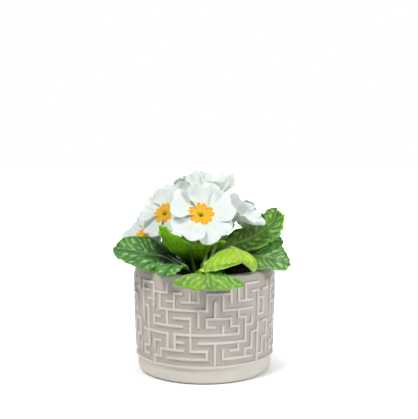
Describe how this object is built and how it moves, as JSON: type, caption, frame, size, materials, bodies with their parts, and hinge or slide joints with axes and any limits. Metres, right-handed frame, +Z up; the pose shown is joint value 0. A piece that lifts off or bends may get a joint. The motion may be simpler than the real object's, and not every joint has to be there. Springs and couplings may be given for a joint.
{
  "type": "potted primrose",
  "caption": "White primrose with a low rosette of wrinkled green leaves, in soil in a round ceramic pot with a raised maze pattern.",
  "frame": {"origin": "centre of the pot's flat foot, on the surface it stands on", "axes": "+Z up along the pot's axis, -Y towards the front bloom and the front leaves, +X to the right as seen from the front"},
  "size_m": [0.137, 0.144, 0.1596],
  "materials": {
    "pot": "warm grey satin glaze, paler on the raised bars",
    "soil": "dark crumbly potting soil",
    "leaf": "fresh green with a soft gloss, wrinkled between the veins",
    "stalk": "pale green, finely downy",
    "petal": "thin white petal with an orange star eye painted in the render"
  },
  "bodies": {
    "root": {"pot": "pot", "soil": "soil", "leaf_front_left": "leaf", "leaf_front_left_low": "leaf", "leaf_front_upright": "leaf", "leaf_front_arch": "leaf", "leaf_front_low": "leaf", "leaf_right_tall": "leaf", "leaf_right_middle": "leaf", "leaf_front_right": "leaf", "leaf_right_far": "leaf", "leaf_right_inner": "leaf", "leaf_left_middle": "leaf", "leaf_left_back": "leaf", "leaf_back": "leaf", "leaf_back_right": "leaf", "leaf_back_upright": "leaf", "bloom_front": "petal", "bloom_front_left": "petal", "bloom_far_left": "petal", "bloom_right": "petal", "bloom_top": "petal", "bloom_top_left": "petal", "bloom_crest": "petal", "bloom_back": "petal", "bloom_back_left": "petal", "bloom_back_right": "petal", "stalk_front": "stalk", "stalk_front_left": "stalk", "stalk_far_left": "stalk", "stalk_right": "stalk", "stalk_top": "stalk", "stalk_top_left": "stalk", "stalk_crest": "stalk", "stalk_back": "stalk", "stalk_back_left": "stalk", "stalk_back_right": "stalk", "bud_front": "stalk"}
  },
  "joints": []
}
